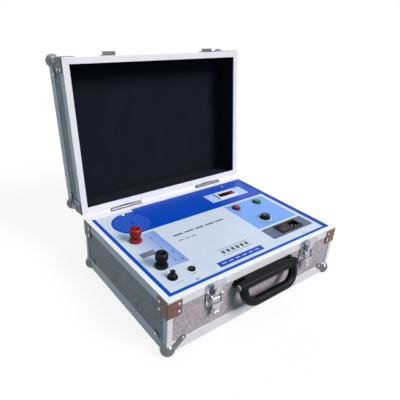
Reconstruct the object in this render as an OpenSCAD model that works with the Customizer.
// Portable low-resistance test set, built into a hinged aluminium carrying case with its lid open.
// Origin: middle of the flat underside of the base panel. X runs along the front, Y to the back, Z up.

/* [Case] */
// Width of the case over its rails
case_w = 420; // [390:1:450]
// Depth of the case over its rails
case_d = 300; // [285:1:330]
// Height of the mating plane above the underside of the base panel
base_h = 109; // [104:1:140]
// Height of the lid above the mating plane
lid_h = 71; // [64:1:90]
// Angle at which the lid stands open
lid_open = 97.5; // [92:0.5:100]
// Thickness of the plywood panels
panel_t = 6; // [5:0.5:7]
// Gap between the two rims when the lid is shut
rim_gap = 0.6; // [0.5:0.1:1]

/* [Rails] */
// Thickness of the aluminium rails
rail_t = 1.2; // [1:0.1:1.4]
// Height of an edge rail on the wall
edge_leg = 22; // [16:1:24]
// Width of an edge rail under the base
edge_foot = 16; // [14:1:20]
// Width of a corner post on each wall
post_leg = 10.5; // [9:0.5:16]
// Radius of the rounded outer corners of rails and posts
edge_r = 2.5; // [2:0.1:3]
// Width of the flat top of a rim rail on the lid
rim_w = 12.5; // [11:0.5:15]
// Width of the flat top of a rim rail on the base
base_rim_w = 9.5; // [9:0.5:14]
// Thickness of the flat top of a rim rail
rim_t = 1.6; // [1.2:0.1:2]
// Height of the outer flange of a rim rail
rim_flange = 17; // [14:1:20]
// Thickness of the inner lip of a rim rail
lip_t = 1.2; // [1:0.1:1.6]

/* [Corners] */
// Radius of the dome of a ball corner
ball_r = 13; // [12:0.5:14]
// Depth of the dome's centre inside each face
ball_in = 6.5; // [6:0.1:7]
// Depth by which each dome is flattened where the case stands on it
dome_flat = 0.5; // [0.3:0.1:1]
// Thickness of the ears and corner plates
ear_t = 1.2; // [1:0.1:1.5]
// Half width of an ear at its rivet
ear_r = 5.5; // [5:0.1:6.5]
// Half width of an ear at the dome
ear_root = 8; // [7:0.5:9]
// Distance of a wall ear's rivet from the corner, along the edge
ear_run = 32; // [28:1:36]
// Height of a wall ear's rivet above the corner
ear_rise = 23; // [21:1:26]
// Length of a corner plate on each wall
plate_leg = 27; // [25:1:34]
// Height of a corner plate
plate_h = 30; // [26:1:34]
// Distance of a corner plate below the rim
plate_drop = 4; // [3:0.5:6]
// Width of the slanted lower corner of a plate
plate_cut = 5; // [3:0.5:7]
// Radius of a rivet's head
rivet_r = 2.7; // [2.4:0.1:3]
// Radius of a rivet's shank
rivet_shank = 1.6; // [1.4:0.1:1.8]
// Height of a rivet's head
rivet_h = 1.3; // [1:0.1:1.6]

/* [Hinges] */
// Distance of the hinge axis behind the case
hinge_out = 5; // [4.8:0.1:5.4]
// Distance of each hinge from the middle of the case
hinge_x = 112; // [100:1:130]
// Length of a hinge
hinge_len = 70; // [60:1:80]
// Height of a hinge leaf
hinge_leaf = 28; // [24:1:30]
// Thickness of a hinge leaf
leaf_t = 1.5; // [1.2:0.1:1.6]
// Radius of a hinge knuckle
knuckle_r = 4.2; // [4:0.1:4.4]
// Radius of a hinge pin
hinge_pin_r = 2; // [1.6:0.1:2.4]

/* [Latches] */
// Distance of each latch from the middle of the case
latch_x = 118; // [108:1:130]
// Half width of a latch plate
latch_half = 17; // [15:1:18]
// Thickness of the latch plate and its ears
latch_t = 1.5; // [1.2:0.1:1.6]
// Distance of the lever's pivot below the mating plane
lever_drop = 24; // [22:0.5:26]
// Distance of the lever's pivot in front of the case
lever_out = 6.5; // [6:0.1:7]
// Length of the lever's tongue below its pivot
lever_len = 32; // [26:1:36]
// Radius of the lever's stub pins
stub_r = 1.6; // [1.3:0.1:1.8]
// Forward lean of the released hook
hook_lean = 8; // [8:0.5:10]
// Height of the keeper's ledge above the mating plane
keeper_low = 0.5; // [0.5:0.1:1]
// Height of the keeper's lip above its ledge
keeper_lip = 5; // [4.8:0.1:5.4]
// Distance of the keeper's lip in front of the case
keeper_deep = 7.5; // [7:0.1:7.8]
// Half width of a keeper
keeper_half = 13; // [10:0.5:14]

/* [Handle] */
// Half length of the handle's mount strip
handle_half = 76; // [72:1:82]
// Distance of the grip's axis below the mating plane
grip_drop = 26; // [25:0.5:28]
// Distance of the grip's axis in front of the case
grip_out = 13; // [12:0.5:15]
// Distance from the grip's axis to its bar
grip_reach = 36; // [34:0.5:38]
// Radius of the grip's turns, along its middle
grip_turn = 26; // [20:1:28]
// Radius of the grip's bar
grip_r = 8.5; // [7:0.5:9]
// Forward lean of the hanging grip, where it meets its stop
grip_lean = 20; // [14:1:26]
// Radius of the grip's pins
grip_pin_r = 2.5; // [2:0.1:3]

/* [Facia] */
// Depth of the facia below the rim
facia_drop = 2.5; // [2:0.5:4]
// Thickness of the facia plate
facia_t = 2; // [1.5:0.1:3]
// Side of the square battens under the facia
batten_side = 12; // [10:1:14]
// Radius of the heads of the facia screws
screw_head_r = 3; // [2.5:0.1:3.5]
// Radius of the facia screws
screw_r = 1.5; // [1.3:0.1:1.8]

/* [Meter] */
// Width of the meter's bezel
bezel_w = 54; // [50:1:60]
// Depth of the meter's bezel across the facia
bezel_d = 27; // [25:1:30]
// Height of the meter's bezel
bezel_h = 3.5; // [3:0.5:5]
// Width of the meter's window
window_w = 46; // [40:1:47]
// Depth of the meter's window across the facia
window_d = 17; // [14:1:18]
// Depth of the meter's housing behind the facia
housing_deep = 38; // [30:1:45]

/* [Current posts] */
// Radius of a post's flange
post_r = 12; // [11:0.5:13]
// Height of a post's insulating base
post_base_h = 8; // [7:0.5:9]
// Height of a post's knob
post_knob_h = 19; // [16:1:22]
// Radius of a post's knob
post_knob_r = 11.5; // [10:0.5:12]
// Radius of the stud inside the knob
stud_r = 4; // [3.6:0.1:5]
// Radius of the threaded end of the stud
stud_thread_r = 3; // [2.5:0.1:3.2]
// Radius of the plug socket in a terminal
plug_r = 2; // [1.9:0.05:2.1]
// Depth of the plug socket in a post
plug_deep = 18; // [14:1:20]

/* [Potential terminals] */
// Radius of the capped terminal's insulator
cap_base_r = 9; // [8:0.5:10]
// Height of the insulators above the facia
insulator_h = 2.6; // [2:0.1:3]
// Height of the pointed cap
cap_h = 10; // [8:0.5:12]
// Radius of the flush terminal's insulator
flush_r = 6.5; // [6:0.1:7.5]
// Radius of the brass contact
contact_r = 2.9; // [2.8:0.1:3.2]

/* [Buttons] */
// Radius of a button's cap
button_r = 7.6; // [7:0.1:8]
// Height of a button's cap above the facia
button_h = 7; // [6:0.5:8]
// Travel of a button
button_travel = 3; // [2:0.5:3.5]
// Side of the switch body behind a button
switch_side = 17; // [16:1:20]
// Depth of the switch body behind the facia
switch_deep = 24; // [20:1:28]

/* [Dial] */
// Radius of the dial knob
dial_r = 12; // [10:0.5:13]
// Height of the dial knob
dial_h = 8; // [7.5:0.5:12]
// Radius of the dial's shaft
dial_shaft_r = 3; // [2.5:0.1:3.2]
// Radius of the potentiometer's body
pot_r = 12; // [10:0.5:14]
// Depth of the potentiometer's body
pot_deep = 14; // [12:1:18]

/* [Mains inlet] */
// Width of the grey plate round the inlet
inlet_plate_w = 116; // [110:1:118]
// Depth of the grey plate across the facia
inlet_plate_d = 37; // [33:1:39]
// Thickness of the grey plate
inlet_plate_t = 1; // [0.8:0.1:1.5]
// Width of the inlet's flange
inlet_w = 60; // [57:1:62]
// Depth of the inlet's flange across the facia
inlet_d = 27; // [26:0.5:28]
// Height of the inlet's flange
inlet_h = 3; // [2.5:0.5:4]
// Depth of the inlet's body behind the facia
inlet_deep = 28; // [26:1:32]
// Width of the socket cavity
socket_w = 24; // [23.5:0.5:24.5]
// Depth of the socket cavity across the facia
socket_d = 16.8; // [16.4:0.1:17]
// Depth that a plug goes in
socket_deep = 19; // [17:1:20]
// Width of the rocker
rocker_w = 12; // [10:0.5:13]
// Length of the rocker across the facia
rocker_d = 19; // [17:0.5:20]
// Tilt of the rocker to each side
rocker_tilt = 8; // [6:0.5:9]

/* [Inside] */
// Width of the transformer's core
core_w = 84; // [70:1:90]
// Depth of the transformer's core
core_d = 46; // [36:1:50]
// Height of the transformer's core
core_h = 62; // [56:1:64]
// Width of the circuit board
board_w = 150; // [130:1:160]
// Depth of the circuit board
board_d = 110; // [100:1:120]
// Thickness of the circuit board
board_t = 1.6; // [1.2:0.1:2]
// Height of the board's standoffs
standoff_h = 10; // [8:1:12]
// Radius of a reservoir capacitor
capacitor_r = 12; // [10:0.5:14]
// Height of a reservoir capacitor
capacitor_h = 36; // [30:1:38]

/* [Lining] */
// Thickness of the lining's walls
lining_t = 3; // [2:0.5:4]
// Thickness of the lining under the lid's top
lining_pad = 8; // [6:0.5:10]

/* [Hidden] */

$fn = 48;
// One overrun serves all cuts
over = 2;
// Glue line between the pieces of one frame
joint_gap = 0.2;
// Radial clearance of a pin or shaft that turns
run_fit = 0.05;
// Clearance of a piece that sits in a cut-out
seat_fit = 0.1;
// Clearance between pieces that move past each other
move_gap = 0.5;

inner_w = case_w - 2 * (rail_t + panel_t);
inner_d = case_d - 2 * (rail_t + panel_t);
rim_z = base_h - rim_gap / 2;
facia_z = rim_z - facia_drop;
facia_under = facia_z - facia_t;
hinge_y = case_d / 2 + hinge_out;
wall_top = rim_gap / 2 + rim_t;

// Places on the facia, as shares of the case's width and depth from its middle
red_post_share = [-0.388, 0.091];
black_post_share = [-0.394, -0.215];
cap_share = [-0.399, -0.337];
flush_share = [-0.304, -0.335];
red_button_share = [0.212, 0.08];
green_button_share = [0.36, 0.077];
dial_share = [0.268, -0.136];
meter_share = [0.273, 0.293];
inlet_share = [0.296, -0.313];
core_share = [-0.24, 0.12];
board_share = [0.24, 0.1];
capacitor_shares = [-0.3, 0, 0.3];

function place(share) = [case_w * share[0], case_d * share[1]];

// Angle section: rounded outer corner at the origin, legs along +X and +Y
module angle_section(leg_x, leg_y, thick, radius) {
    difference() {
        union() {
            translate([radius, radius]) circle(radius);
            translate([radius, 0]) square([leg_x - radius, leg_y]);
            translate([0, radius]) square([leg_x, leg_y - radius]);
        }
        translate([thick, thick]) square([leg_x, leg_y]);
    }
}

// Rim section: outer face at X 0, top at Y 0, the case below and towards +X
module rim_section(wide) {
    translate([0, -rim_flange]) square([rail_t, rim_flange - rim_t / 2]);
    translate([rim_t / 2, -rim_t]) square([wide - rim_t / 2, rim_t]);
    translate([rim_t / 2, -rim_t / 2]) circle(rim_t / 2);
    translate([wide - lip_t, -facia_drop]) square([lip_t, facia_drop - rim_t / 2]);
}

// Four mitred rails round the case, from a section with X inward and Y up
module rail_ring() {
    reach = case_d / 4;
    front = [
        [-case_w / 2 + joint_gap, -case_d / 2], [case_w / 2 - joint_gap, -case_d / 2],
        [case_w / 2 - joint_gap - reach, -case_d / 2 + reach], [-case_w / 2 + joint_gap + reach, -case_d / 2 + reach]
    ];
    side = [
        [-case_w / 2, -case_d / 2 + joint_gap], [-case_w / 2, case_d / 2 - joint_gap],
        [-case_w / 2 + reach, case_d / 2 - joint_gap - reach], [-case_w / 2 + reach, -case_d / 2 + joint_gap + reach]
    ];
    for (back = [0, 1]) mirror([0, back, 0]) intersection() {
        translate([-case_w / 2, -case_d / 2, 0]) rotate([90, 0, 90]) linear_extrude(case_w) children();
        linear_extrude(case_d, center = true) polygon(front);
    }
    for (right = [0, 1]) mirror([right, 0, 0]) intersection() {
        translate([-case_w / 2, case_d / 2, 0]) rotate([90, 0, 0]) linear_extrude(case_d) children();
        linear_extrude(case_d, center = true) polygon(side);
    }
}

// Repeats a corner piece, made at the front left, at all four corners
module at_corners() {
    for (right = [0, 1], back = [0, 1]) mirror([right, 0, 0]) mirror([0, back, 0])
        translate([-case_w / 2, -case_d / 2, 0]) children();
}

// Lies a piece on the front of the case, with its Z axis pointing out
module on_front(x, z) {
    translate([x, -case_d / 2, z]) rotate([90, 0, 0]) children();
}

// Lies a piece on the back of the case, with its Z axis pointing out
module on_back(x, z) {
    translate([x, case_d / 2, z]) rotate([90, 0, 180]) children();
}

// Stands a tray the right way up, mating plane at the top
module base_place() {
    translate([0, 0, base_h]) children();
}

// Turns a tray over on the base and swings it open about the hinge
module lid_place() {
    translate([0, hinge_y, base_h]) rotate([-lid_open, 0, 0]) translate([0, -hinge_y, 0])
        mirror([0, 0, 1]) children();
}

// A tray has its mating plane at Z 0 and the outside of its floor panel at Z -high
module tray_floor(high) {
    translate([-case_w / 2 + rail_t, -case_d / 2 + rail_t, -high])
        cube([case_w - 2 * rail_t, case_d - 2 * rail_t, panel_t]);
}

module tray_walls(high) {
    wall_h = high - panel_t - wall_top;
    side_d = inner_d - 2 * joint_gap;
    for (back = [0, 1]) mirror([0, back, 0])
        translate([-case_w / 2 + rail_t, -case_d / 2 + rail_t, -high + panel_t])
            cube([case_w - 2 * rail_t, panel_t, wall_h]);
    for (right = [0, 1]) mirror([right, 0, 0])
        translate([-case_w / 2 + rail_t, -side_d / 2, -high + panel_t]) cube([panel_t, side_d, wall_h]);
}

module tray_edge_rails(high) {
    translate([0, 0, -high - rail_t]) rail_ring() angle_section(edge_foot, edge_leg, rail_t, edge_r);
}

module tray_posts(high) {
    foot = -high - rail_t + edge_leg;
    at_corners() translate([0, 0, foot]) linear_extrude(-foot - rim_gap / 2 - rim_flange)
        angle_section(post_leg, post_leg, rail_t, edge_r);
}

module tray_rim_rails(wide) {
    translate([0, 0, -rim_gap / 2]) rail_ring() rim_section(wide);
}

// A rivet's head on a sheet whose outer side is at Z 0, its shank through the sheet
module rivet(sheet) {
    dome_r = (rivet_r * rivet_r + rivet_h * rivet_h) / (2 * rivet_h);
    intersection() {
        translate([0, 0, rivet_h - dome_r]) sphere(dome_r);
        cylinder(h = rivet_h, r = rivet_r);
    }
    translate([0, 0, -sheet]) cylinder(h = sheet, r = rivet_shank);
}

module rivet_hole() {
    translate([0, 0, -over]) cylinder(h = 2 * over, r = rivet_shank + run_fit);
}

// An ear lies in the XY plane with the case corner at the origin and is pressed out towards +Z
module ear(run, rise) {
    away = sqrt(pow(run - ball_in, 2) + pow(rise - ball_in, 2));
    tip = ear_r - joint_gap;
    difference() {
        union() {
            translate([run, rise, 0]) cylinder(h = ear_t, r = ear_r);
            translate([ball_in, ball_in, 0]) rotate([0, 0, atan2(rise - ball_in, run - ball_in)])
                linear_extrude(ear_t) polygon([[0, -ear_root], [away, -tip], [away, tip], [0, ear_root]]);
        }
        translate([run, rise, 0]) rivet_hole();
    }
}

// Turns a face piece, made in the XY plane, on to each of the three faces that meet at a corner
module on_front_of_corner() {
    rotate([90, 0, 0]) children();
}

module on_side_of_corner() {
    mirror([1, -1, 0]) rotate([90, 0, 0]) children();
}

module on_floor_of_corner() {
    mirror([0, 0, 1]) children();
}

// Pressed corner with a ball shaped dome: outer corner of the case at the origin, case towards +X +Y +Z
module ball_corner() {
    difference() {
        translate([ball_in, ball_in, ball_in]) sphere(ball_r);
        cube(2 * ball_r);
        translate([0, 0, ball_in - ball_r + dome_flat - ball_r]) cube([4 * ball_r, 4 * ball_r, 2 * ball_r], center = true);
    }
    on_front_of_corner() ear(ear_run, ear_rise);
    on_side_of_corner() ear(ear_run, ear_rise);
    on_floor_of_corner() ear(ear_run, ear_run);
}

module ball_corner_rivets() {
    on_front_of_corner() translate([ear_run, ear_rise, ear_t]) rivet(ear_t);
    on_side_of_corner() translate([ear_run, ear_rise, ear_t]) rivet(ear_t);
    on_floor_of_corner() translate([ear_run, ear_run, ear_t]) rivet(ear_t);
}

module tray_ball_corners(high) {
    at_corners() translate([0, 0, -high - rail_t]) ball_corner();
}

// Places of the two rivets on each leg of a corner plate
module at_plate_rivets() {
    for (level = [plate_h / 4, plate_h - plate_h / 4]) {
        on_front_of_corner() translate([plate_leg - 2 * rivet_r, -plate_drop - level, ear_t]) children();
        on_side_of_corner() translate([plate_leg - 2 * rivet_r, -plate_drop - level, ear_t]) children();
    }
}

// Bent plate over a rim corner: outer corner of the case at the origin, rim at Z 0
module corner_plate() {
    low = -plate_drop - plate_h;
    slant = [[plate_leg - plate_cut, low - over], [plate_leg + over, low - over], [plate_leg + over, low + plate_cut + over]];
    difference() {
        translate([-ear_t, -ear_t, low]) linear_extrude(plate_h)
            angle_section(plate_leg + ear_t, plate_leg + ear_t, ear_t, edge_r - ear_t / 2);
        on_front_of_corner() linear_extrude(2 * over, center = true) polygon(slant);
        on_side_of_corner() linear_extrude(2 * over, center = true) polygon(slant);
        at_plate_rivets() rivet_hole();
    }
}

module tray_corner_plates() {
    translate([0, 0, -rim_gap / 2]) at_corners() corner_plate();
}

module tray_rivets(high) {
    translate([0, 0, -rim_gap / 2]) at_corners() at_plate_rivets() rivet(ear_t);
    at_corners() translate([0, 0, -high - rail_t]) ball_corner_rivets();
}

// Part of the underside that lies free between the rails and the ears
module free_underside() {
    lap = edge_foot + move_gap;
    corner = ear_run + 2 * ear_r;
    square([case_w - 2 * lap, case_d - 2 * corner], center = true);
    square([case_w - 2 * corner, case_d - 2 * lap], center = true);
}

module base_bottom_panel() {
    color("dimgray") base_place() difference() {
        tray_floor(base_h);
        translate([0, 0, -base_h - over]) linear_extrude(over + joint_gap) difference() {
            square([case_w, case_d], center = true);
            free_underside();
        }
    }
}

module base_side_panels() {
    color("silver") base_place() tray_walls(base_h);
}

module base_edge_rails() {
    color("gainsboro") base_place() tray_edge_rails(base_h);
}

module base_corner_posts() {
    color("gainsboro") base_place() tray_posts(base_h);
}

module base_rim_rails() {
    color("whitesmoke") base_place() tray_rim_rails(base_rim_w);
}

module base_ball_corners() {
    color("lightgray") base_place() tray_ball_corners(base_h);
}

module base_corner_plates() {
    color("rosybrown") base_place() tray_corner_plates();
}

module base_rivets() {
    color("white") base_place() tray_rivets(base_h);
}

module lid_top_panel() {
    color("silver") lid_place() tray_floor(lid_h);
}

module lid_side_panels() {
    color("slategray") lid_place() tray_walls(lid_h);
}

module lid_edge_rails() {
    color("gainsboro") lid_place() tray_edge_rails(lid_h);
}

module lid_corner_posts() {
    color("gainsboro") lid_place() tray_posts(lid_h);
}

module lid_rim_rails() {
    color("whitesmoke") lid_place() tray_rim_rails(rim_w);
}

module lid_ball_corners() {
    color("lightgray") lid_place() tray_ball_corners(lid_h);
}

module lid_corner_plates() {
    color("rosybrown") lid_place() tray_corner_plates();
}

module lid_rivets() {
    color("white") lid_place() tray_rivets(lid_h);
}

module lid_lining() {
    deep = lid_h - panel_t - wall_top;
    wall_h = deep - lining_pad - joint_gap;
    side_d = inner_d - 2 * (lining_t + joint_gap);
    color([0.08, 0.09, 0.13]) lid_place() {
        translate([-inner_w / 2, -inner_d / 2, -lid_h + panel_t]) cube([inner_w, inner_d, lining_pad]);
        for (back = [0, 1]) mirror([0, back, 0])
            translate([-inner_w / 2, -inner_d / 2, -wall_top - wall_h]) cube([inner_w, lining_t, wall_h]);
        for (right = [0, 1]) mirror([right, 0, 0])
            translate([-inner_w / 2, -side_d / 2, -wall_top - wall_h]) cube([lining_t, side_d, wall_h]);
    }
}

// One hinge leaf below the mating plane, outer face of the back wall at Y 0, axis at Y hinge_out
module leaf(knuckles) {
    top = -knuckle_r - 2 * move_gap;
    leaf_low = -hinge_leaf;
    difference() {
        union() {
            translate([-hinge_len / 2, 0, leaf_low]) cube([hinge_len, leaf_t, top - leaf_low]);
            for (k = knuckles) {
                translate([k[0], 0, top - leaf_t]) cube([k[1], leaf_t, 3 * leaf_t]);
                translate([k[0], 0, -knuckle_r]) cube([k[1], hinge_out, leaf_t]);
                translate([k[0], hinge_out, 0]) rotate([0, 90, 0]) cylinder(h = k[1], r = knuckle_r);
            }
        }
        translate([-hinge_len, hinge_out, 0]) rotate([0, 90, 0]) cylinder(h = 2 * hinge_len, r = hinge_pin_r + run_fit);
        for (side = [-1, 1]) translate([side * hinge_len * 2 / 5, leaf_t, (top + leaf_low) / 2])
            rotate([-90, 0, 0]) rivet_hole();
    }
}

module leaf_rivets() {
    level = (-knuckle_r - 2 * move_gap - hinge_leaf) / 2;
    for (side = [-1, 1]) translate([side * hinge_len * 2 / 5, leaf_t, level]) rotate([-90, 0, 0]) rivet(leaf_t);
}

outer_knuckle = hinge_len * 3 / 10;
inner_knuckle = hinge_len - 2 * (outer_knuckle + move_gap);

module hinge_base_leaves() {
    color("dimgray") base_place() for (side = [-1, 1]) translate([side * hinge_x, case_d / 2, 0]) {
        leaf([[-hinge_len / 2, outer_knuckle], [hinge_len / 2 - outer_knuckle, outer_knuckle]]);
        leaf_rivets();
    }
}

module hinge_lid_leaves() {
    color("dimgray") lid_place() for (side = [-1, 1]) translate([side * hinge_x, case_d / 2, 0]) {
        leaf([[-inner_knuckle / 2, inner_knuckle]]);
        leaf_rivets();
    }
}

module hinge_pins() {
    color("gray") for (side = [-1, 1])
        translate([side * hinge_x - hinge_len / 2 - rivet_h, hinge_y, base_h]) rotate([0, 90, 0]) {
            cylinder(h = hinge_len + 2 * rivet_h, r = hinge_pin_r);
            for (end = [0, hinge_len + rivet_h]) translate([0, 0, end]) cylinder(h = rivet_h, r = knuckle_r * 3 / 4);
        }
}

// Latch values, in front of the case and above the mating plane
ear_in = latch_half - 4 * latch_t;
cheek_out = ear_in - move_gap;
hook_in = 1;
hook_low = 7;
hook_half = 6.5;
hub_r = 2.6;
trunnion_r = 1.3;
web_out = 5;
lever_hub = 3.4;
latch_top = 4;
latch_high = 40;
tongue_half = 5;

// Extrudes a profile, drawn with X out of the wall and Y up, to both sides of the middle
module across(width) {
    rotate([0, -90, 0]) linear_extrude(width, center = true) children();
}

// Puts a latch piece at its place: X across, Y above the mating plane, Z out of the wall
module latch_place(side) {
    on_front(side * latch_x, base_h) children();
}

module latch_plate() {
    difference() {
        union() {
            translate([-latch_half, -latch_top - latch_high, 0]) cube([2 * latch_half, latch_high, latch_t]);
            for (side = [-1, 1]) translate([side * (ear_in + latch_t / 2), 0, 0]) across(latch_t) {
                translate([lever_out, -lever_drop]) circle(lever_hub + latch_t / 2);
                translate([0, -lever_drop - lever_hub - latch_t / 2])
                    square([lever_out, 2 * lever_hub + latch_t]);
            }
        }
        translate([0, -lever_drop, lever_out]) rotate([0, 90, 0])
            cylinder(h = 3 * latch_half, r = stub_r + run_fit, center = true);
        at_latch_rivets() rivet_hole();
    }
}

module at_latch_rivets() {
    for (side = [-1, 1], end = [0, 1])
        translate([side * (latch_half - 1.2 * rivet_r), -latch_top - 2 * rivet_r - end * (latch_high - 4 * rivet_r), latch_t])
            children();
}

module latch_plates() {
    color("lightgray") for (side = [-1, 1]) latch_place(side) {
        latch_plate();
        at_latch_rivets() rivet(latch_t);
    }
}

module latch_pivot_pins() {
    long = latch_t + move_gap + latch_t;
    color("gray") for (side = [-1, 1], end = [0, 1]) latch_place(side) mirror([end, 0, 0])
        translate([cheek_out - latch_t, -lever_drop, lever_out]) rotate([0, 90, 0]) {
            cylinder(h = long, r = stub_r);
            translate([0, 0, long]) cylinder(h = rivet_h, r = rivet_r);
        }
}

module latch_lever() {
    low = -lever_drop - lever_len;
    web_top = -lever_drop - 2 * hook_low;
    shoulder = web_top - 2 * latch_t;
    face = lever_out + web_out;
    difference() {
        union() {
            for (side = [-1, 1]) translate([side * (cheek_out - latch_t / 2), 0, 0]) across(latch_t) {
                translate([lever_out, -lever_drop]) circle(lever_hub);
                polygon([
                    [lever_out - lever_hub, -lever_drop], [lever_out + lever_hub, -lever_drop],
                    [face, web_top], [face, shoulder], [face - latch_t, shoulder],
                    [lever_out - lever_hub, -lever_drop - hook_low - lever_hub]
                ]);
            }
            translate([0, 0, face - latch_t]) linear_extrude(latch_t) polygon([
                [-cheek_out, web_top], [cheek_out, web_top], [cheek_out, shoulder],
                [tongue_half, shoulder - tongue_half], [tongue_half, low], [-tongue_half, low],
                [-tongue_half, shoulder - tongue_half], [-cheek_out, shoulder]
            ]);
            translate([0, low, face - latch_t / 2]) rotate([0, 90, 0])
                cylinder(h = 2 * tongue_half, r = latch_t, center = true);
        }
        translate([0, -lever_drop, lever_out]) rotate([0, 90, 0])
            cylinder(h = 3 * latch_half, r = stub_r + run_fit, center = true);
        translate([0, -lever_drop - hook_low, lever_out - hook_in]) rotate([0, 90, 0])
            cylinder(h = 3 * latch_half, r = trunnion_r + run_fit, center = true);
    }
}

// The hook stands on its trunnions and leans forward, clear of the keeper
module latch_hook() {
    rise = lever_drop + hook_low;
    stand = keeper_deep + move_gap - lever_out + hook_in;
    foot = rise + keeper_low;
    top = foot + keeper_lip + move_gap + latch_t;
    lip_out = keeper_deep - latch_t - 2 * move_gap - lever_out + hook_in;
    translate([0, -rise, lever_out - hook_in]) rotate([hook_lean, 0, 0]) {
        rotate([0, 90, 0]) cylinder(h = 2 * (cheek_out - latch_t - move_gap / 2), r = hub_r, center = true);
        rotate([0, 90, 0]) cylinder(h = 2 * cheek_out, r = trunnion_r, center = true);
        across(2 * hook_half) polygon([
            [-latch_t / 2, 0], [latch_t / 2, 0], [stand + latch_t, foot], [stand, foot]
        ]);
        across(2 * (keeper_half - move_gap)) polygon([
            [stand, foot - latch_t], [stand, top - latch_t], [lip_out, top - latch_t],
            [lip_out, top - 3 * latch_t], [lip_out - latch_t, top - 3 * latch_t], [lip_out - latch_t, top],
            [stand + latch_t, top], [stand + latch_t, foot - latch_t]
        ]);
    }
}

module keeper() {
    difference() {
        union() {
            translate([-keeper_half, keeper_low, 0]) cube([2 * keeper_half, latch_high / 3, latch_t]);
            translate([-keeper_half, keeper_low, 0]) cube([2 * keeper_half, latch_t, keeper_deep]);
            translate([-keeper_half, keeper_low, keeper_deep - latch_t]) cube([2 * keeper_half, keeper_lip, latch_t]);
        }
        at_keeper_rivets() rivet_hole();
    }
}

module at_keeper_rivets() {
    for (side = [-1, 1])
        translate([side * keeper_half / 2, keeper_low + latch_high / 3 - 1.2 * rivet_r, latch_t]) children();
}

module latch_keepers() {
    color("lightgray") lid_place() for (side = [-1, 1]) on_front(side * latch_x, 0) mirror([0, 1, 0]) {
        keeper();
        at_keeper_rivets() rivet(latch_t);
    }
}

module latch_lever_left() {
    color("silver") latch_place(-1) latch_lever();
}

module latch_lever_right() {
    color("silver") latch_place(1) latch_lever();
}

module latch_hook_left() {
    color("gray") latch_place(-1) latch_hook();
}

module latch_hook_right() {
    color("gray") latch_place(1) latch_hook();
}

// Handle values
mount_base = 3;
mount_top = -rim_gap / 2 - rim_flange - move_gap;
mount_round = grip_drop + mount_top;
pin_head_h = 3.5;
pin_head_r = 6;
pin_sunk = 14;
leg_x = handle_half - pin_head_h - move_gap - grip_r;
body_x = leg_x - grip_r - move_gap;

// Puts a handle piece at its place: X across, Y above the mating plane, Z out of the wall
module handle_place() {
    on_front(0, base_h) children();
}

module handle_mount() {
    plate_x = handle_half - mount_round;
    color([0.06, 0.07, 0.08]) handle_place() difference() {
        union() {
            translate([-plate_x, -grip_drop - mount_round, -rail_t])
                cube([2 * plate_x, 2 * mount_round, rail_t + mount_base]);
            for (side = [-1, 1]) translate([side * plate_x, -grip_drop, -rail_t])
                cylinder(h = rail_t + mount_base, r = mount_round);
            across(2 * body_x) {
                translate([grip_out, -grip_drop]) circle(mount_round);
                translate([0, -grip_drop - mount_round]) square([grip_out, 2 * mount_round]);
            }
        }
        for (side = [0, 1]) mirror([side, 0, 0])
            translate([body_x - pin_sunk, -grip_drop, grip_out]) rotate([0, 90, 0])
                cylinder(h = handle_half, r = grip_pin_r + run_fit);
    }
}

module handle_pins() {
    long = pin_sunk + 2 * grip_r + 2 * move_gap;
    color("gray") handle_place() for (side = [0, 1]) mirror([side, 0, 0])
        translate([body_x - pin_sunk, -grip_drop, grip_out]) rotate([0, 90, 0]) {
            cylinder(h = long, r = grip_pin_r);
            translate([0, 0, long]) cylinder(h = pin_head_h - move_gap, r1 = pin_head_r, r2 = pin_head_r * 5 / 6);
        }
}

module handle_grip() {
    color([0.06, 0.07, 0.08]) handle_place() translate([0, -grip_drop, grip_out]) rotate([-grip_lean, 0, 0])
        difference() {
            union() {
                for (side = [0, 1]) mirror([side, 0, 0]) {
                    translate([leg_x, 0, 0]) rotate([0, 90, 0]) cylinder(h = 2 * grip_r, r = grip_r, center = true);
                    translate([leg_x, 0, 0]) rotate([90, 0, 0]) cylinder(h = grip_reach - grip_turn, r = grip_r);
                    translate([leg_x - grip_turn, grip_turn - grip_reach, 0]) rotate([0, 0, -90])
                        rotate_extrude(angle = 90) translate([grip_turn, 0]) circle(grip_r);
                }
                translate([0, -grip_reach, 0]) rotate([0, 90, 0])
                    cylinder(h = 2 * (leg_x - grip_turn), r = grip_r, center = true);
            }
            rotate([0, 90, 0]) cylinder(h = 3 * handle_half, r = grip_pin_r + run_fit, center = true);
        }
}

// Facia values
batten_w = 20;
screw_in = 15;
spigot_r = 6.5;
small_spigot_r = 4.5;
bush_r = 4.5;
inlet_shift = 1.5;
housing_in = 2;
body_in_x = 3.5;
body_in_y = 2.5;
knob_roof = 1.5;
tip_wall = 1.5;
housing_w = bezel_w - 2 * housing_in;
housing_d = bezel_d - 2 * housing_in;
body_w = inlet_w - 2 * body_in_x;
body_d = inlet_d - 2 * body_in_y;

// Puts a piece on the facia at a share of the case's size, Z 0 on the facia
module on_facia(share) {
    translate([place(share)[0], place(share)[1], facia_z]) children();
}

module at_facia_screws() {
    for (x = [-1, 1], y = [-1, 1]) translate([x * inner_w / 3, y * (inner_d / 2 - screw_in), facia_z]) children();
}

module facia_hole(share, radius) {
    on_facia(share) translate([0, 0, -facia_t - over]) cylinder(h = facia_t + 2 * over, r = radius + seat_fit);
}

module facia_slot(width, depth) {
    translate([-width / 2 - seat_fit, -depth / 2 - seat_fit, -facia_t - over])
        cube([width + 2 * seat_fit, depth + 2 * seat_fit, facia_t + 2 * over]);
}

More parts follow.
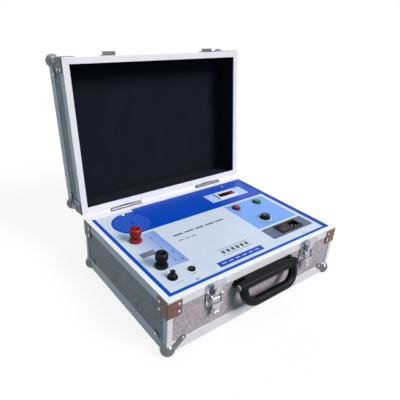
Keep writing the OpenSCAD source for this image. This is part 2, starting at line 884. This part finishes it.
module facia_plate() {
    color([0.82, 0.86, 0.93]) difference() {
        translate([-inner_w / 2 + seat_fit, -inner_d / 2 + seat_fit, facia_under])
            cube([inner_w - 2 * seat_fit, inner_d - 2 * seat_fit, facia_t]);
        facia_hole(red_post_share, spigot_r);
        facia_hole(black_post_share, spigot_r);
        facia_hole(cap_share, small_spigot_r);
        facia_hole(flush_share, small_spigot_r);
        facia_hole(red_button_share, button_r + move_gap);
        facia_hole(green_button_share, button_r + move_gap);
        facia_hole(dial_share, bush_r);
        on_facia(meter_share) facia_slot(housing_w, housing_d);
        on_facia(inlet_share) translate([inlet_shift, 0, 0]) facia_slot(body_w, body_d);
        at_facia_screws() cylinder(h = 3 * facia_t, r = screw_r + seat_fit, center = true);
    }
}

module facia_screws() {
    color("lightgray") at_facia_screws() {
        cylinder(h = screw_head_r / 2, r1 = screw_head_r, r2 = screw_head_r * 2 / 3);
        translate([0, 0, -facia_t - batten_side / 2]) cylinder(h = facia_t + batten_side / 2, r = screw_r);
    }
}

module facia_battens() {
    side_d = inner_d - 2 * (batten_w + joint_gap);
    color("burlywood") difference() {
        union() {
            for (back = [0, 1]) mirror([0, back, 0])
                translate([-inner_w / 2, -inner_d / 2, facia_under - batten_side]) cube([inner_w, batten_w, batten_side]);
            for (right = [0, 1]) mirror([right, 0, 0])
                translate([-inner_w / 2, -side_d / 2, facia_under - batten_side]) cube([batten_w, side_d, batten_side]);
        }
        at_facia_screws() translate([0, 0, -facia_t - batten_side * 3 / 4])
            cylinder(h = batten_side, r = screw_r + run_fit);
    }
}

module meter_bezel() {
    color("white") on_facia(meter_share) difference() {
        translate([-bezel_w / 2, -bezel_d / 2, 0]) cube([bezel_w, bezel_d, bezel_h]);
        translate([-window_w / 2 - seat_fit, -window_d / 2 - seat_fit, 0])
            cube([window_w + 2 * seat_fit, window_d + 2 * seat_fit, bezel_h + over]);
    }
}

module meter_window() {
    color([0.25, 0.02, 0.03]) on_facia(meter_share)
        translate([-window_w / 2, -window_d / 2, 0]) cube([window_w, window_d, bezel_h * 2 / 3]);
}

module meter_housing() {
    color([0.1, 0.1, 0.1]) on_facia(meter_share)
        translate([-housing_w / 2, -housing_d / 2, -housing_deep]) cube([housing_w, housing_d, housing_deep]);
}

// Insulating base of a current post, with its washer under the facia
module post_base() {
    collar_r = post_r * 4 / 5;
    washer_h = facia_t;
    difference() {
        union() {
            rotate_extrude() polygon([
                [0, 0], [post_r, 0], [post_r, post_base_h / 3], [collar_r, post_base_h / 2],
                [collar_r, post_base_h], [0, post_base_h]
            ]);
            translate([0, 0, -facia_t]) cylinder(h = facia_t, r = spigot_r);
            translate([0, 0, -facia_t - joint_gap - washer_h]) cylinder(h = washer_h, r = collar_r);
        }
        translate([0, 0, -2 * post_r]) cylinder(h = 4 * post_r, r = stud_thread_r + run_fit);
    }
}

module post_stud() {
    washer_h = facia_t;
    nut_z = -facia_t - joint_gap - washer_h;
    nut_h = stud_thread_r * 1.5;
    tail = 3 * nut_h;
    top = post_base_h + post_knob_h - knob_roof;
    difference() {
        union() {
            translate([0, 0, nut_z - tail]) cylinder(h = post_base_h - nut_z + tail, r = stud_thread_r);
            translate([0, 0, post_base_h]) cylinder(h = top - post_base_h, r = stud_r);
        }
        translate([0, 0, top - plug_deep]) cylinder(h = plug_deep + over, r = plug_r);
    }
    for (level = [nut_z - nut_h, nut_z - 2 * nut_h - facia_t]) difference() {
        translate([0, 0, level]) cylinder(h = nut_h, r = 1.8 * stud_thread_r, $fn = 6);
        translate([0, 0, level - over]) cylinder(h = nut_h + 2 * over, r = stud_thread_r + run_fit);
    }
    translate([0, 0, nut_z - nut_h - facia_t / 2]) difference() {
        union() {
            cylinder(h = facia_t / 2 - joint_gap, r = 1.8 * stud_thread_r);
            translate([0, -stud_thread_r, 0]) cube([5 * stud_thread_r, 2 * stud_thread_r, facia_t / 2 - joint_gap]);
        }
        translate([0, 0, -over]) cylinder(h = facia_t + over, r = stud_thread_r + run_fit);
    }
}

module post_knob() {
    neck_r = post_knob_r * 3 / 4;
    difference() {
        translate([0, 0, post_base_h + move_gap]) rotate_extrude() polygon([
            [0, 0], [neck_r, 0], [neck_r, post_knob_h / 6], [post_knob_r, post_knob_h / 3],
            [post_knob_r, post_knob_h * 5 / 6], [post_knob_r * 5 / 6, post_knob_h], [0, post_knob_h]
        ]);
        cylinder(h = post_base_h + move_gap + post_knob_h - knob_roof, r = stud_r + run_fit);
        cylinder(h = 3 * post_knob_h, r = plug_r + move_gap);
    }
}

module red_post_base() {
    color("firebrick") on_facia(red_post_share) post_base();
}

module black_post_base() {
    color([0.06, 0.06, 0.06]) on_facia(black_post_share) post_base();
}

module current_studs() {
    color("goldenrod") {
        on_facia(red_post_share) post_stud();
        on_facia(black_post_share) post_stud();
    }
}

module red_post_knob() {
    color("firebrick") on_facia(red_post_share) post_knob();
}

module black_post_knob() {
    color([0.06, 0.06, 0.06]) on_facia(black_post_share) post_knob();
}

module insulator(radius) {
    difference() {
        union() {
            cylinder(h = insulator_h, r = radius);
            translate([0, 0, -facia_t]) cylinder(h = facia_t, r = small_spigot_r);
            translate([0, 0, -2 * facia_t - joint_gap]) cylinder(h = facia_t, r = small_spigot_r + facia_t);
        }
        translate([0, 0, -cap_h]) cylinder(h = 2 * cap_h, r = contact_r + run_fit);
    }
}

module potential_sockets() {
    color([0.06, 0.06, 0.06]) {
        on_facia(cap_share) insulator(cap_base_r);
        on_facia(flush_share) insulator(flush_r);
    }
}

// Brass contact with a flange under the insulator's washer and a blind plug socket
module contact(top) {
    low = -2 * facia_t - joint_gap;
    difference() {
        union() {
            translate([0, 0, low - cap_h]) cylinder(h = top - low + cap_h, r = contact_r);
            translate([0, 0, low - facia_t]) cylinder(h = facia_t, r = small_spigot_r + facia_t / 2);
        }
        translate([0, 0, low - facia_t]) cylinder(h = top - low + facia_t + over, r = plug_r);
    }
}

module potential_contacts() {
    color("goldenrod") {
        on_facia(cap_share) contact(insulator_h + cap_h - knob_roof);
        on_facia(flush_share) contact(insulator_h - joint_gap);
    }
}

module potential_cap() {
    skirt_r = cap_base_r * 5 / 6;
    tip_r = contact_r + tip_wall;
    color([0.06, 0.06, 0.06]) on_facia(cap_share) difference() {
        translate([0, 0, insulator_h + move_gap]) rotate_extrude() polygon([
            [0, 0], [skirt_r, 0], [skirt_r, cap_h / 6], [tip_r, cap_h * 3 / 5], [tip_r, cap_h], [0, cap_h]
        ]);
        cylinder(h = insulator_h + move_gap + cap_h - knob_roof, r = contact_r + run_fit);
        cylinder(h = 3 * cap_h, r = plug_r + move_gap);
    }
}

// Button values
bezel_ring = 1.8;
stem_r = 3;
cap_low = move_gap;
recess = button_travel + move_gap - facia_t;

module button_bezel() {
    difference() {
        cylinder(h = button_h / 3, r = button_r + bezel_ring);
        translate([0, 0, -over]) cylinder(h = button_h, r = button_r + move_gap);
    }
}

module button_bezels() {
    color([0.1, 0.1, 0.1]) {
        on_facia(red_button_share) button_bezel();
        on_facia(green_button_share) button_bezel();
    }
}

module button_switch() {
    translate([0, 0, -facia_t]) difference() {
        translate([-switch_side / 2, -switch_side / 2, -switch_deep]) cube([switch_side, switch_side, switch_deep]);
        translate([0, 0, -recess]) cylinder(h = recess + over, r = button_r + move_gap / 2);
        translate([0, 0, -switch_deep * 2 / 3]) cylinder(h = switch_deep, r = stem_r + run_fit);
    }
}

module button_switches() {
    color([0.15, 0.15, 0.15]) {
        on_facia(red_button_share) button_switch();
        on_facia(green_button_share) button_switch();
    }
}

module button_cap() {
    rim = button_h / 4;
    translate([0, 0, cap_low]) cylinder(h = button_h - cap_low - rim / 2, r = button_r);
    translate([0, 0, button_h - rim / 2]) cylinder(h = rim / 2, r1 = button_r, r2 = button_r - rim / 2);
    translate([0, 0, -facia_t - switch_deep / 2 + cap_low]) cylinder(h = facia_t + switch_deep / 2, r = stem_r);
}

module red_button() {
    color("crimson") on_facia(red_button_share) button_cap();
}

module green_button() {
    color("seagreen") on_facia(green_button_share) button_cap();
}

// Dial values
nut_r = 6.5;
nut_h = 2.5;
shaft_low = facia_t + pot_deep / 2;

module dial_pot() {
    color("gray") on_facia(dial_share) difference() {
        union() {
            translate([0, 0, -facia_t - pot_deep]) cylinder(h = pot_deep, r = pot_r);
            translate([0, 0, -facia_t]) cylinder(h = facia_t + 2 * nut_h, r = bush_r);
            cylinder(h = nut_h, r = nut_r, $fn = 6);
        }
        translate([0, 0, -shaft_low - move_gap]) cylinder(h = 2 * dial_h, r = dial_shaft_r + run_fit);
    }
}

module dial_knob() {
    hollow = 2 * nut_h + move_gap;
    color([0.06, 0.06, 0.06]) on_facia(dial_share) {
        difference() {
            translate([0, 0, move_gap]) rotate_extrude() polygon([
                [0, 0], [dial_r, 0], [dial_r, dial_h / 6], [dial_r * 4 / 5, dial_h / 3],
                [dial_r * 3 / 4, dial_h - dial_r / 12], [dial_r * 2 / 3, dial_h], [0, dial_h]
            ]);
            cylinder(h = hollow, r = nut_r + move_gap);
        }
        translate([0, 0, -shaft_low]) cylinder(h = shaft_low + hollow + dial_h / 4, r = dial_shaft_r);
    }
}

// Inlet values
socket_edge = 4;
rocker_edge = 6;
socket_x = inlet_w / 2 - socket_w / 2 - socket_edge;
rocker_x = -inlet_w / 2 + rocker_w / 2 + rocker_edge;
rocker_deep = 11;
rocker_rise = 1.5;
trunnion = 1.5;
pin_w = 4;
pin_t = 2;
pin_gap = 14;
pin_h = 14;

// Puts an inlet piece at its place, Z 0 on the grey plate
module on_inlet() {
    on_facia(inlet_share) translate([inlet_shift, 0, inlet_plate_t]) children();
}

module inlet_plate() {
    color("lightslategray") on_facia(inlet_share) difference() {
        translate([-inlet_plate_w / 2, -inlet_plate_d / 2, 0]) cube([inlet_plate_w, inlet_plate_d, inlet_plate_t]);
        translate([inlet_shift, 0, 0]) facia_slot(body_w, body_d);
    }
}

module inlet_housing() {
    floor_z = inlet_h - socket_deep;
    axis_z = inlet_h - rocker_deep / 2;
    color([0.07, 0.07, 0.07]) on_inlet() difference() {
        union() {
            translate([-inlet_w / 2, -inlet_d / 2, 0]) cube([inlet_w, inlet_d, inlet_h]);
            translate([-body_w / 2, -body_d / 2, -inlet_deep]) cube([body_w, body_d, inlet_deep]);
        }
        translate([socket_x - socket_w / 2, -socket_d / 2, floor_z]) cube([socket_w, socket_d, socket_deep + over]);
        translate([rocker_x - rocker_w / 2 - move_gap, -rocker_d / 2 - 3 * move_gap, inlet_h - rocker_deep])
            cube([rocker_w + 2 * move_gap, rocker_d + 6 * move_gap, rocker_deep + over]);
        translate([rocker_x, 0, axis_z]) rotate([0, 90, 0])
            cylinder(h = rocker_w + 2 * move_gap + 2 * trunnion, r = trunnion + run_fit, center = true);
    }
}

module inlet_pins() {
    floor_z = inlet_h - socket_deep;
    color("silver") on_inlet() for (spot = [[-pin_gap / 2, -pin_t], [pin_gap / 2, -pin_t], [0, pin_t]])
        translate([socket_x + spot[0] - pin_t / 2, spot[1] - pin_w / 2, floor_z]) cube([pin_t, pin_w, pin_h]);
}

module power_rocker() {
    axis_z = inlet_h - rocker_deep / 2;
    top = rocker_deep / 2 + rocker_rise;
    keel = rocker_deep / 2 - 2 * move_gap;
    color([0.3, 0.05, 0.05]) on_inlet() translate([rocker_x, 0, axis_z]) rotate([rocker_tilt, 0, 0]) {
        rotate([90, 0, 90]) linear_extrude(rocker_w, center = true) polygon([
            [-rocker_d / 2, top], [0, top - rocker_rise], [rocker_d / 2, top],
            [rocker_d / 2, top - 2 * rocker_rise], [rocker_d / 5, -keel], [-rocker_d / 5, -keel],
            [-rocker_d / 2, top - 2 * rocker_rise]
        ]);
        rotate([0, 90, 0]) cylinder(h = rocker_w + move_gap + 2 * trunnion, r = trunnion, center = true);
    }
}

// Inner pieces stand on the base panel
module inside(share) {
    translate([place(share)[0], place(share)[1], panel_t]) children();
}

module transformer_core() {
    limb = core_w / 6;
    color("dimgray") inside(core_share) difference() {
        translate([-core_w / 2, -core_d / 2, 0]) cube([core_w, core_d, core_h]);
        for (side = [-1, 1]) translate([side * 1.5 * limb - limb / 2, -core_d, limb])
            cube([limb, 2 * core_d, core_h - 2 * limb]);
    }
}

module transformer_coil() {
    limb = core_w / 6;
    wind = limb - 2 * move_gap;
    high = core_h - 2 * limb - 2 * move_gap;
    color("peru") inside(core_share) translate([0, 0, limb + move_gap]) difference() {
        translate([-limb - move_gap - wind, -core_d / 2 - move_gap - wind, 0])
            cube([2 * (limb + move_gap + wind), core_d + 2 * (move_gap + wind), high]);
        translate([-limb - seat_fit, -core_d / 2 - seat_fit, -over])
            cube([2 * (limb + seat_fit), core_d + 2 * seat_fit, high + 2 * over]);
    }
}

module at_board_corners() {
    inset = 2 * stem_r;
    for (x = [-1, 1], y = [-1, 1]) translate([x * (board_w / 2 - inset), y * (board_d / 2 - inset), 0]) children();
}

module main_board() {
    color("darkgreen") inside(board_share) difference() {
        translate([-board_w / 2, -board_d / 2, standoff_h]) cube([board_w, board_d, board_t]);
        at_board_corners() cylinder(h = 2 * standoff_h, r = screw_r + seat_fit);
    }
}

module board_standoffs() {
    color("goldenrod") inside(board_share) at_board_corners() {
        cylinder(h = standoff_h, r = 2 * screw_r, $fn = 6);
        cylinder(h = standoff_h + board_t, r = screw_r);
        translate([0, 0, standoff_h + board_t]) cylinder(h = screw_r, r = screw_head_r);
    }
}

module capacitors() {
    color("midnightblue") inside(board_share) for (share = capacitor_shares)
        translate([share * board_w, -board_d / 4, standoff_h + board_t]) cylinder(h = capacitor_h, r = capacitor_r);
}

base_bottom_panel();
base_side_panels();
base_edge_rails();
base_corner_posts();
base_rim_rails();
base_ball_corners();
base_corner_plates();
base_rivets();
hinge_base_leaves();
hinge_pins();
latch_plates();
latch_pivot_pins();
handle_mount();
handle_pins();
facia_plate();
facia_screws();
facia_battens();
meter_bezel();
meter_window();
meter_housing();
red_post_base();
black_post_base();
current_studs();
potential_sockets();
potential_contacts();
button_bezels();
button_switches();
dial_pot();
inlet_plate();
inlet_housing();
inlet_pins();
transformer_core();
transformer_coil();
main_board();
board_standoffs();
capacitors();
lid_top_panel();
lid_side_panels();
lid_edge_rails();
lid_corner_posts();
lid_rim_rails();
lid_ball_corners();
lid_corner_plates();
lid_rivets();
lid_lining();
hinge_lid_leaves();
latch_keepers();
handle_grip();
latch_lever_left();
latch_lever_right();
latch_hook_left();
latch_hook_right();
red_post_knob();
black_post_knob();
potential_cap();
red_button();
green_button();
dial_knob();
power_rocker();
